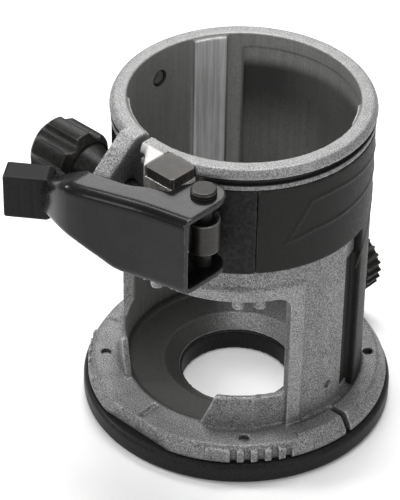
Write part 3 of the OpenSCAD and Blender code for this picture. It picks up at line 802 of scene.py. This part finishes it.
class Workshop:
    """Finishes pieces: material, body and the CAD nodes they stand for."""

    def __init__(self) -> None:
        """Opens the paintshop and builds the two geometry node trees."""
        self.paint = Paintshop()
        geometry, material = "NodeSocketGeometry", "NodeSocketMaterial"
        self.ring = make_group(
            "ring_repeat", "GeometryNodeTree",
            [("Geometry", geometry, None), ("Count", "NodeSocketInt", 4),
             ("Step", "NodeSocketVector", None), ("Shift", "NodeSocketVector", None),
             ("Material", material, None)], [("Geometry", geometry)], self._ring)
        self.path = make_group(
            "swept_rib", "GeometryNodeTree",
            [("Geometry", geometry, None), ("Radius", FLOAT, 0.0003), ("Material", material, None)],
            [("Geometry", geometry)], self._path)

    @staticmethod
    def _ring(t: Tree, inp: Node, out: Node) -> None:
        """Copies a shape, each copy turned one step further about the origin, then shifts all."""
        points = t.add("GeometryNodePoints", {"Count": inp.outputs["Count"]})
        index = t.add("GeometryNodeInputIndex").outputs[0]
        turn = t.add("ShaderNodeVectorMath", {0: inp.outputs["Step"]}, operation="SCALE")
        t.feed(turn.inputs["Scale"], index)
        spots = t.add("GeometryNodeInstanceOnPoints",
                      {"Points": points.outputs[0], "Instance": inp.outputs["Geometry"],
                       "Rotation": turn.outputs[0]})
        real = t.add("GeometryNodeRealizeInstances", {0: spots.outputs[0]})
        moved = t.add("GeometryNodeTransform", {"Geometry": real.outputs[0],
                                                "Translation": inp.outputs["Shift"]})
        paint = t.add("GeometryNodeSetMaterial", {0: moved.outputs[0],
                                                  "Material": inp.outputs["Material"]})
        t.feed(out.inputs[0], paint.outputs[0])

    @staticmethod
    def _path(t: Tree, inp: Node, out: Node) -> None:
        """Sweeps a round rib along a mesh's edges."""
        curve = t.add("GeometryNodeMeshToCurve", {0: inp.outputs["Geometry"]})
        ring = t.add("GeometryNodeCurvePrimitiveCircle", {"Resolution": 8})
        t.feed(ring.inputs["Radius"], inp.outputs["Radius"])
        tube = t.add("GeometryNodeCurveToMesh", {0: curve.outputs[0], 1: ring.outputs[0]})
        t.feed(tube.inputs["Fill Caps"], True)
        real = t.add("GeometryNodeRealizeInstances", {0: tube.outputs[0]})
        paint = t.add("GeometryNodeSetMaterial", {0: real.outputs[0],
                                                  "Material": inp.outputs["Material"]})
        t.feed(out.inputs[0], paint.outputs[0])

    @staticmethod
    def run_nodes(obj: Object, group: NodeTree, values: dict) -> None:
        """Runs a geometry node tree on an object and keeps the plain result.

        Args:
            obj: the object whose mesh goes in and is replaced.
            group: the tree.
            values: input name to value.
        """
        step = obj.modifiers.new(group.name, "NODES")
        step.node_group = group
        for item in group.interface.items_tree:
            if item.item_type == "SOCKET" and item.in_out == "INPUT" and item.name in values:
                step[item.identifier] = values[item.name]
        bake_modifiers(obj)

    def repeat(self, obj: Object, finish: Finish, count: int,
               step: tuple[float, float, float],
               shift: tuple[float, float, float] = (0.0, 0.0, 0.0)) -> None:
        """Repeats an object's mesh round the origin, then shifts it."""
        self.run_nodes(obj, self.ring, {"Count": count, "Step": step, "Shift": shift,
                                        "Material": self.paint.get(finish)})

    def sweep(self, obj: Object, finish: Finish, radius: float) -> None:
        """Turns an object's edges into round ribs."""
        self.run_nodes(obj, self.path, {"Radius": radius, "Material": self.paint.get(finish)})

    def dress(self, obj: Object, piece: Piece) -> Object:
        """Gives a mesh its finish and its place in the mechanism.

        Args:
            obj: the piece, at the origin, unturned and unscaled.
            piece: its description.

        Returns:
            The same object.
        """
        obj.name = piece.name
        obj.data.name = piece.name
        obj.data.materials.clear()
        obj.data.materials.append(self.paint.get(piece.finish))
        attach(obj, piece.body.value)
        if piece.nodes:
            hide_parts(*piece.nodes)
        LOG.info("%s: %d faces on %s", piece.name, len(obj.data.polygons), piece.body.value)
        return obj

    def rounded(self, piece: Piece, voxel: float, rounds: int = 3, keep: float = 1.0,
                extra: Sequence[Mesh] = ()) -> Object:
        """A softened copy of CAD nodes.

        Args:
            piece: its description; its nodes are the ones copied.
            voxel: grid size in mm.
            rounds: relaxing rounds.
            keep: share of faces kept.
            extra: meshes joined in before the remesh.

        Returns:
            The finished object.
        """
        bm = merged_cad(piece.nodes[0])
        for mesh in extra:
            bm.from_mesh(mesh)
        obj = new_object(piece.name, to_mesh(bm, piece.name))
        relax(obj, voxel, rounds, keep)
        return self.dress(obj, piece)

    def repaint(self, node: str, finish: Finish) -> None:
        """Gives a carried-over CAD node its finish."""
        obj = frame["nodes"][node]
        material = self.paint.get(finish)
        if not obj.material_slots:
            obj.data.materials.append(material)
        for slot in obj.material_slots:
            slot.link = "OBJECT"
            slot.material = material
        LOG.info("%s: CAD node in %s", node, finish.name)


# ---------------------------------------------------------------------------------------------
# sub-assemblies


@dataclass
class Casting:
    """The die-cast sleeve and foot, with the pins in its bore."""

    shop: Workshop
    voxel: float = 0.42
    keep: float = 0.3
    pad_radii: Point = (43.0, 45.7)
    pad_turn: Point = (-58.9, -49.6)
    pad_heights: Point = (6.9, 11.3)

    def build(self) -> None:
        """Builds the casting and its pins."""
        pads = [self.pad(side) for side in (1, -1)]
        self.shop.rounded(Piece("cast_sleeve_and_foot", Body.BASE, CAST, ("base_casting",)),
                          self.voxel, 3, self.keep, extra=pads)
        for pad in pads:
            bpy.data.meshes.remove(pad)
        self.shop.rounded(Piece("bore_pin_pair", Body.BASE, STEEL, ("bore_pins",)), 0.2, 2)

    def pad(self, side: int) -> Mesh:
        """The plain pad beside the finger ribs of one side.

        Args:
            side: 1 for the right, -1 for the left.

        Returns:
            Its closed mesh.
        """
        turns = [math.radians(self.pad_turn[0] + (self.pad_turn[1] - self.pad_turn[0]) * k / 4)
                 for k in range(5)]
        outline = [(side * r * math.cos(a), r * math.sin(a))
                   for r, order in zip(self.pad_radii, (turns, turns[::-1])) for a in order]
        return to_mesh(prism(outline, *self.pad_heights), "pad")


@dataclass
class Sole:
    """The sub-base and its four countersunk screws."""

    shop: Workshop
    voxel: float = 0.5
    keep: float = 0.35
    screw_radius: float = 40.0
    screw_turn: float = 46.0
    profile: tuple[Point, ...] = ((0.0, 1.0), (3.0, 1.0), (3.15, 1.15), (3.15, 1.2), (1.5, 2.85),
                                  (1.5, 10.5), (0.0, 10.5))

    def build(self) -> None:
        """Builds the sub-base and the screws."""
        self.shop.rounded(Piece("sub_base_disc", Body.BASE, SOLE, ("sub_base",)), self.voxel, 3, self.keep)
        pair = bmesh.new()
        for side in (-1, 1):
            angle = math.radians(270 + side * self.screw_turn)
            place = Matrix.Translation((self.screw_radius * math.cos(angle),
                                        self.screw_radius * math.sin(angle), 0.0))
            screw = self.one_screw(place)
            pair.from_mesh(screw)
            bpy.data.meshes.remove(screw)
        obj = new_object("screws", to_mesh(pair, "screws"))
        self.shop.repeat(obj, STEEL, count=2, step=(0.0, 0.0, math.pi))
        self.shop.dress(obj, Piece("sub_base_screw_set", Body.BASE, STEEL, ("sub_base_screws",)))

    def one_screw(self, place: Matrix) -> Mesh:
        """A screw with a cross recess.

        Args:
            place: where it stands, in mm.

        Returns:
            Its mesh.
        """
        obj = new_object("screw", to_mesh(lathe(self.profile, place, 40), "screw"))
        for size in ((4.4, 0.8), (0.8, 4.4)):
            x, y = size[0] / 2, size[1] / 2
            carve(obj, prism(((-x, -y), (x, -y), (x, y), (-x, y)), 0.5, 1.8, place), "DIFFERENCE")
        mesh = obj.data.copy()
        drop_object(obj)
        return mesh


@dataclass
class Grips:
    """The two rubber grip covers, with their raised chevron lines, and the grained front panel."""

    shop: Workshop
    voxel: float = 0.42
    keep: float = 0.3
    outer: float = 38.0
    rib: float = 0.34
    lines: tuple[tuple[Point, ...], ...] = (
        ((-28.5, 80.0), (-16.6, 93.0), (-5.7, 93.6), (20.0, 92.6), (62.0, 90.0)),
        ((-27.6, 80.6), (-15.3, 82.8), (-3.8, 83.3), (16.0, 83.9), (62.0, 84.6)),
        ((14.0, 58.5), (40.0, 76.5), (66.0, 78.5)))

    def build(self) -> None:
        """Builds both covers and the panel."""
        for side, node in ((1, "right_grip_cover"), (-1, "left_grip_cover")):
            ribs = self.ribs(side)
            self.shop.rounded(Piece(f"{node}_moulding", Body.BASE, RUBBER, (node,)), self.voxel, 4,
                              self.keep, extra=(ribs,))
            bpy.data.meshes.remove(ribs)
        self.shop.rounded(Piece("grained_front_panel", Body.BASE, PANEL, ("front_panel",)), 0.3, 3, 0.6)

    def ribs(self, side: int) -> Mesh:
        """The raised lines of one cover, swept along their paths by geometry nodes.

        Args:
            side: 1 for the right cover, -1 for the left.

        Returns:
            A closed mesh that stands half out of the cover.
        """
        bm = bmesh.new()
        for line in self.lines:
            last = None
            for (a0, z0), (a1, z1) in zip(line, line[1:]):
                steps = max(2, int(abs(a1 - a0) / 2.0))
                for k in range(steps + 1):
                    if k == 0 and last is not None:
                        continue
                    angle = math.radians(a0 + (a1 - a0) * k / steps)
                    height = z0 + (z1 - z0) * k / steps
                    vert = bm.verts.new((side * self.outer * MM * math.cos(angle),
                                         self.outer * MM * math.sin(angle), height * MM))
                    if last is not None:
                        bm.edges.new((last, vert))
                    last = vert
        obj = new_object("ribs", to_mesh(bm, "ribs"))
        self.shop.sweep(obj, RUBBER, self.rib * MM)
        mesh = obj.data.copy()
        drop_object(obj)
        return mesh


@dataclass
class Lever:
    """The stamped cam lever, its pivot and its rubber tip."""

    shop: Workshop
    pin: Point = field(default_factory=lambda: joint_place("lever_swing")[:2])
    low: float = field(default_factory=lambda: box_mm("clamp_lever", 0, 2))
    high: float = field(default_factory=lambda: box_mm("clamp_lever", 1, 2))
    spare: float = 2.0
    plate: float = 1.6
    bend: float = 2.8
    web: tuple[Point, ...] = ((6.0, -13.7), (-7.0, -16.8), (-16.1, -19.9), (-26.0, -23.3), (-31.0, -23.9),
                              (-36.5, -22.7), (-43.7, -19.9))
    inner: tuple[Point, ...] = ((-45.7, -13.7), (-37.0, -14.4), (-28.5, -14.0), (-23.0, -12.9),
                                (-17.0, -11.1), (-12.6, -8.0), (-7.6, -6.2), (-7.1, -4.2), (-7.1, -1.4))
    lug: float = 6.0
    hollow: tuple[Point, ...] = ((7.5, 8.0), (7.5, -11.8), (-7.0, -15.2), (-16.1, -18.3), (-26.0, -21.6),
                                 (-30.5, -22.0), (-32.5, -20.9), (-32.5, -9.0), (-20.0, 8.0))
    foot_line: tuple[Point, ...] = ((12.0, 78.0), (0.0, 78.0), (-14.0, 78.2), (-21.0, 81.2), (-29.0, 84.9),
                                    (-36.0, 85.6), (-43.0, 84.4), (-50.0, 83.4))
    top_line: tuple[Point, ...] = ((-50.0, 92.6), (-44.0, 94.2), (-38.0, 98.2), (-32.0, 101.9),
                                   (-26.0, 103.0), (0.0, 103.0), (12.0, 103.0))
    tip_cad: tuple[float, float, float] = (-29.3, -56.4, 88.0)
    tip_place: tuple[float, float, float] = (-27.7, -58.1, 88.0)
    tip_turn: float = 215.5
    tip_toe_in: float = 17.9
    tip_squash: float = 0.85

    def build(self) -> None:
        """Builds the lever, the pin, its clip and the tip."""
        lever = self.channel()
        relax(lever, 0.3, 6, 0.55)
        self.shop.dress(lever, Piece("stamped_lever", Body.LEVER, LACQUER, ("clamp_lever",)))
        self.shop.rounded(Piece("lever_pivot", Body.LEVER, OXIDE, ("pivot_pin",)), 0.16, 3, 0.6)
        self.grip()
        self.shop.repaint("pivot_clip", OXIDE)

    def grip(self) -> None:
        """The rubber tip, toed in so that it follows the end of the channel."""
        bm = merged_cad("lever_tip")
        turn = (Matrix.Translation(Vector(self.tip_place) * MM)
                @ Matrix.Rotation(math.radians(self.tip_toe_in), 4, "Z")
                @ Matrix.Diagonal((1.0, 1.0, self.tip_squash, 1.0))
                @ Matrix.Translation(Vector(self.tip_cad) * -MM))
        bmesh.ops.transform(bm, matrix=turn, verts=bm.verts)
        obj = new_object("grip", to_mesh(bm, "grip"))
        relax(obj, 0.26, 9, 0.7)
        self.shop.dress(obj, Piece("lever_end_grip", Body.LEVER, TIP, ("lever_tip",)))

    def plan(self) -> list[Point]:
        """The lever's outline seen from above, in mm."""
        arc = [(self.lug * math.cos(a), self.lug * math.sin(a))
               for a in (math.radians(170 - 10 * k) for k in range(18))]
        points = list(self.web) + list(self.inner) + arc
        corners = {0, len(self.web) - 1, len(self.web), len(self.web) + 6, len(self.web) + 8,
                   len(points) - 1}
        return [(self.pin[0] + x, self.pin[1] + y) for x, y in loop_through(points, corners, 4)]

    def side(self, inset: float) -> BMesh:
        """A prism of the lever's side view, pulled in by an inset, in metres."""
        foot = [(x, z + inset) for x, z in self.foot_line]
        top = [(x, z - inset) for x, z in self.top_line]
        points = [(self.pin[0] + x, z) for x, z in
                  loop_through(foot + top, {0, 1, len(foot) - 1, len(foot), len(foot) + 5,
                                            len(foot) + 6}, 4)]
        turn = Matrix.Rotation(math.radians(90), 4, "X")
        return prism(points, -10.0, 90.0, turn)

    def round_over(self, obj: Object, radius: float, outward: float) -> None:
        """Rounds the bends between the web and the plates.

        Args:
            obj: the solid.
            radius: bend radius in mm.
            outward: the sign of Y that the web faces.
        """
        bm = bmesh.new()
        bm.from_mesh(obj.data)
        bmesh.ops.remove_doubles(bm, verts=bm.verts, dist=1e-6)
        picked = []
        for edge in bm.edges:
            if len(edge.link_faces) != 2 or edge.calc_face_angle(0.0) < math.radians(35):
                continue
            flat, wall = sorted(edge.link_faces, key=lambda f: -abs(f.normal.z))
            if abs(flat.normal.z) > 0.5 > abs(wall.normal.z) and wall.normal.y * outward > 0.3:
                picked.append(edge)
        bmesh.ops.bevel(bm, geom=picked, offset=radius * MM, segments=5, profile=0.5, affect="EDGES",
                        clamp_overlap=False)
        bm.to_mesh(obj.data)
        bm.free()

    def channel(self) -> Object:
        """The stamped channel: an outer solid with round bends, less its hollow, plus the tongue."""
        outer = new_object("lever", to_mesh(prism(self.plan(), self.low - self.spare,
                                                   self.high + self.spare), "lever"))
        carve(outer, self.side(0.0), "INTERSECT")
        self.round_over(outer, self.bend, -1.0)
        hole = [(self.pin[0] + x, self.pin[1] + y) for x, y in
                loop_through(self.hollow, {0, 1, 5, 6, 7, 8}, 4)]
        inner = new_object("hollow", to_mesh(prism(hole, self.low - self.spare,
                                                    self.high + self.spare), "hollow"))
        carve(inner, self.side(self.plate), "INTERSECT")
        self.round_over(inner, self.bend - self.plate, -1.0)
        tool = bmesh.new()
        tool.from_mesh(inner.data)
        drop_object(inner)
        carve(outer, tool, "DIFFERENCE")
        turn = Matrix.Translation(self.tip_place) @ Matrix.Rotation(math.radians(self.tip_turn), 4, "Z")
        tongue = ((-9.0, -1.6), (4.0, -1.6), (4.0, 1.6), (-9.0, 1.6))
        bm = bmesh.new()
        bm.from_mesh(outer.data)
        slab = to_mesh(prism(tongue, -5.0, 5.0, turn), "slab")
        bm.from_mesh(slab)
        bpy.data.meshes.remove(slab)
        bm.to_mesh(outer.data)
        bm.free()
        return outer


@dataclass
class Clamp:
    """The thrust block, the draw bolt and the tension knob."""

    shop: Workshop

    def build(self) -> None:
        """Builds the clamp's pieces."""
        shop = self.shop
        shop.rounded(Piece("thrust_block_milled", Body.BASE, BLOCK, ("thrust_block",)), 0.22, 2, 0.5)
        shop.rounded(Piece("thrust_block_cap", Body.BASE, CAP, ("block_cap",)), 0.16, 4, 0.7)
        shop.rounded(Piece("draw_bolt_steel", Body.BOLT, BOLT_STEEL_SHADED, ("clamp_bolt",)), 0.24, 3, 0.6)
        shop.rounded(Piece("tension_knob_moulding", Body.TENSION, KNOB, ("tension_knob",)), 0.28, 6, 0.7)
        shop.repaint("knob_insert", BRASS)
        shop.repaint("clamp_washer", STEEL)
        shop.repaint("wave_washer", STEEL)


@dataclass
class GuideLock:
    """The knurled knob at the back, with its screw, washer and insert."""

    shop: Workshop
    axis_z: float = field(default_factory=lambda: joint_place("guide_turn")[2])
    start: float = field(default_factory=lambda: box_mm("guide_knob", 0, 1))
    core: float = 9.9
    ridge: float = 0.95
    count: int = 24
    profile: tuple[Point, ...] = ((2.5, 0.0), (8.2, 0.0), (9.3, 1.0), (9.9, 2.2), (9.9, 7.6), (9.0, 8.7),
                                  (7.6, 9.0), (7.0, 8.4), (5.4, 8.1), (3.4, 8.1), (0.0, 8.3),
                                  (0.0, 6.4), (2.5, 6.4))

    def build(self) -> None:
        """Builds the knob and dresses what holds it."""
        place = (Matrix.Translation((0.0, self.start, self.axis_z))
                 @ Matrix.Rotation(math.radians(-90), 4, "X"))
        core = to_mesh(lathe(self.profile, place, 96), "core")
        bar = new_object("ridge", self.one_ridge())
        self.shop.repeat(bar, KNOB, count=self.count, step=(0.0, math.tau / self.count, 0.0),
                         shift=(0.0, self.start * MM, self.axis_z * MM))
        bm = bmesh.new()
        bm.from_mesh(core)
        bm.from_mesh(bar.data)
        bpy.data.meshes.remove(core)
        drop_object(bar)
        knob = new_object("knob", to_mesh(bm, "knob"))
        relax(knob, 0.26, 2, 0.7)
        self.shop.dress(knob, Piece("guide_knob_moulding", Body.GUIDE, KNOB, ("guide_knob",)))
        self.shop.repaint("guide_screw", STEEL)
        self.shop.repaint("guide_washer", STEEL)
        self.shop.repaint("guide_insert", BRASS)

    def one_ridge(self) -> Mesh:
        """One ridge of the knurl on the +X side, with its axis along Y through the origin."""
        outline = [(self.core + self.ridge * math.cos(a) * 0.95, self.ridge * 0.72 * math.sin(a))
                   for a in (math.tau * k / 10 for k in range(10))]
        turn = Matrix.Rotation(math.radians(-90), 4, "X")
        return to_mesh(prism(outline, 1.5, 7.9, turn), "ridge")


@dataclass(frozen=True)
class Lamp:
    """A square area light: its place, the height on the Z axis it aims at, its size and power."""

    name: str
    place: tuple[float, float, float]
    aim: float
    size: float
    power: float


@dataclass
class Studio:
    """Camera, pale floor and soft lights."""

    place: tuple[float, float, float] = (0.40080, -0.44682, 0.49844)
    right: tuple[float, float, float] = (0.72432, 0.68933, 0.01329)
    ahead: tuple[float, float, float] = (-0.547, 0.586, -0.598)
    lens: float = 181.2
    floor_size: float = 4.0
    world: float = 0.36
    lamps: tuple[Lamp, ...] = (
        Lamp("overhead_softbox", (-0.10, 0.10, 0.75), 0.05, 0.40, 5.2),
        Lamp("left_strip", (-0.55, -0.35, 0.45), 0.06, 0.15, 2.2),
        Lamp("right_fill", (0.60, -0.10, 0.30), 0.05, 0.35, 0.9),
        Lamp("back_strip", (-0.42, 0.44, 0.50), 0.08, 0.25, 1.2),
        Lamp("front_strip", (0.05, -0.70, 0.35), 0.06, 0.22, 0.9))

    def build(self) -> None:
        """Builds the studio."""
        scene = bpy.context.scene
        scene.view_settings.view_transform = "Standard"
        self.camera(scene)
        self.floor()
        world = bpy.data.worlds.new("studio_white")
        world.use_nodes = True
        world.node_tree.nodes["Background"].inputs["Color"].default_value = (1.0, 1.0, 1.0, 1.0)
        world.node_tree.nodes["Background"].inputs["Strength"].default_value = self.world
        scene.world = world
        for lamp in self.lamps:
            light = bpy.data.lights.new(lamp.name, "AREA")
            light.size = lamp.size
            light.energy = lamp.power
            obj = bpy.data.objects.new(lamp.name, light)
            obj.location = lamp.place
            away = Vector(lamp.place) - Vector((0.0, 0.0, lamp.aim))
            obj.rotation_euler = away.to_track_quat("Z", "Y").to_euler()
            scene.collection.objects.link(obj)

    def camera(self, scene: bpy.types.Scene) -> None:
        """Stands the camera where it looks down on the clamp side."""
        data = bpy.data.cameras.new("camera")
        data.lens = self.lens
        data.sensor_width = 36.0
        data.clip_start = 0.05
        data.clip_end = 20.0
        right, ahead = Vector(self.right).normalized(), Vector(self.ahead).normalized()
        up = right.cross(ahead)
        turn = Matrix((right, up, -ahead)).transposed().to_4x4()
        camera = bpy.data.objects.new("camera", data)
        camera.matrix_world = Matrix.Translation(self.place) @ turn
        scene.collection.objects.link(camera)
        scene.camera = camera

    def floor(self) -> None:
        """A pale floor just under the sole."""
        bm = bmesh.new()
        half = self.floor_size / 2
        bm.faces.new([bm.verts.new((x, y, -0.00005)) for x, y in
                      ((-half, -half), (half, -half), (half, half), (-half, half))])
        floor = new_object("floor", to_mesh(bm, "floor"))
        paint = bpy.data.materials.new("pale_floor")
        paint.use_nodes = True
        shader = paint.node_tree.nodes["Principled BSDF"]
        shader.inputs["Base Color"].default_value = (0.93, 0.93, 0.93, 1.0)
        shader.inputs["Roughness"].default_value = 0.9
        floor.data.materials.append(paint)


def main() -> None:
    """Builds the studio and every sub-assembly."""
    logging.basicConfig(level=logging.INFO, format="%(name)s %(message)s")
    Studio().build()
    shop = Workshop()
    for part in (Casting(shop), Sole(shop), Grips(shop), Clamp(shop), Lever(shop), GuideLock(shop)):
        part.build()


if __name__ == "__main__":
    main()
